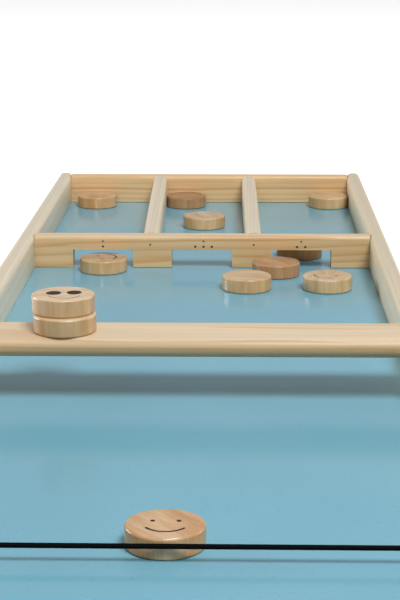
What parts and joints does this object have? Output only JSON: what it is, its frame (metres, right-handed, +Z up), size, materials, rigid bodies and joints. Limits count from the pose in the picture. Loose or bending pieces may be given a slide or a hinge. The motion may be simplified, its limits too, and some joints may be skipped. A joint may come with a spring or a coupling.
{
  "type": "table-top shuffleboard",
  "caption": "Long low wooden table-top shuffleboard: painted lane between pine rails, elastic launcher, crossbar, gate board with scoring gates, walled compartments and loose round discs.",
  "frame": {"origin": "centre of the flat underside", "axes": "+Y along the board from the player's open end to the back board, +X to the player's right, +Z up"},
  "size_m": [0.408, 1.3, 0.0925],
  "materials": {
    "blue_paint": "satin blue lacquer on board",
    "pine": "clear satin, straight grain, rounded edges",
    "beech": "smooth clear satin",
    "beech_red": "smooth clear satin, redder heartwood",
    "ink": "matt printed dot",
    "elastic": "black braided sheath over rubber",
    "steel": "zinc plated"
  },
  "bodies": {
    "table": {"base_panel": "blue_paint", "left_side_rail": "pine", "right_side_rail": "pine", "back_board": "pine", "crossbar": "pine", "gate_board": "pine", "left_divider": "pine", "right_divider": "pine", "left_gate_dots": "ink", "middle_gate_dots": "ink", "right_gate_dots": "ink", "rail_screws": "steel", "gate_screws": "steel", "back_board_screws": "steel", "divider_screws": "steel", "crossbar_screws": "steel", "left_rail_brads": "steel", "right_rail_brads": "steel", "gate_brads": "steel", "back_brads": "steel", "elastic_left_run": "elastic", "elastic_right_run": "elastic", "left_knot": "elastic", "right_knot": "elastic"},
    "elastic": {"elastic_middle": "elastic"},
    "launch_disc": {"launch_disc": "beech"},
    "stack_lower_disc": {"stack_lower_disc": "beech"},
    "stack_upper_disc": {"stack_upper_disc": "beech"},
    "field_left_disc": {"field_left_disc": "beech"},
    "field_middle_disc": {"field_middle_disc": "beech_red"},
    "field_right_disc": {"field_right_disc": "beech"},
    "gate_disc": {"gate_disc": "beech"},
    "right_lane_disc": {"right_lane_disc": "beech"},
    "middle_lane_disc": {"middle_lane_disc": "beech"},
    "left_back_disc": {"left_back_disc": "beech"},
    "middle_back_disc": {"middle_back_disc": "beech_red"},
    "right_back_disc": {"right_back_disc": "beech"}
  },
  "joints": [
    {"name": "elastic_draw", "type": "slide", "parent": "table", "child": "elastic", "axis": [0, -1, 0], "range_m": [0, 0.045], "stiffness_N_per_m": 80, "deforming": ["elastic_left_run", "elastic_right_run"]},
    {"name": "launch_slide", "type": "slide", "parent": "elastic", "child": "launch_disc", "axis": [0, 1, 0], "range_m": [0, 0.975]},
    {"name": "stack_slide", "type": "slide", "parent": "table", "child": "stack_lower_disc", "axis": [1, 0, 0], "range_m": [-0.064, 0.264]},
    {"name": "stack_lift", "type": "slide", "parent": "stack_lower_disc", "child": "stack_upper_disc", "axis": [0, 0, 1], "range_m": [0, 0.05]},
    {"name": "field_left_slide", "type": "slide", "parent": "table", "child": "field_left_disc", "axis": [0, 1, 0], "range_m": [-0.65, 0.01]},
    {"name": "field_middle_slide", "type": "slide", "parent": "table", "child": "field_middle_disc", "axis": [1, 0, 0], "range_m": [-0.03, 0.077]},
    {"name": "field_right_slide", "type": "slide", "parent": "table", "child": "field_right_disc", "axis": [0, 1, 0], "range_m": [-0.65, 0.01]},
    {"name": "gate_disc_slide", "type": "slide", "parent": "table", "child": "gate_disc", "axis": [0, 1, 0], "range_m": [-0.65, 0.335]},
    {"name": "right_lane_slide", "type": "slide", "parent": "table", "child": "right_lane_disc", "axis": [0, 1, 0], "range_m": [-0.035, 0.26]},
    {"name": "middle_lane_slide", "type": "slide", "parent": "table", "child": "middle_lane_disc", "axis": [0, 1, 0], "range_m": [0, 0.085]},
    {"name": "left_back_slide", "type": "slide", "parent": "table", "child": "left_back_disc", "axis": [1, 0, 0], "range_m": [-0.01, 0.048]},
    {"name": "middle_back_slide", "type": "slide", "parent": "table", "child": "middle_back_disc", "axis": [1, 0, 0], "range_m": [0, 0.046]},
    {"name": "right_back_slide", "type": "slide", "parent": "table", "child": "right_back_disc", "axis": [1, 0, 0], "range_m": [-0.069, 0]}
  ]
}
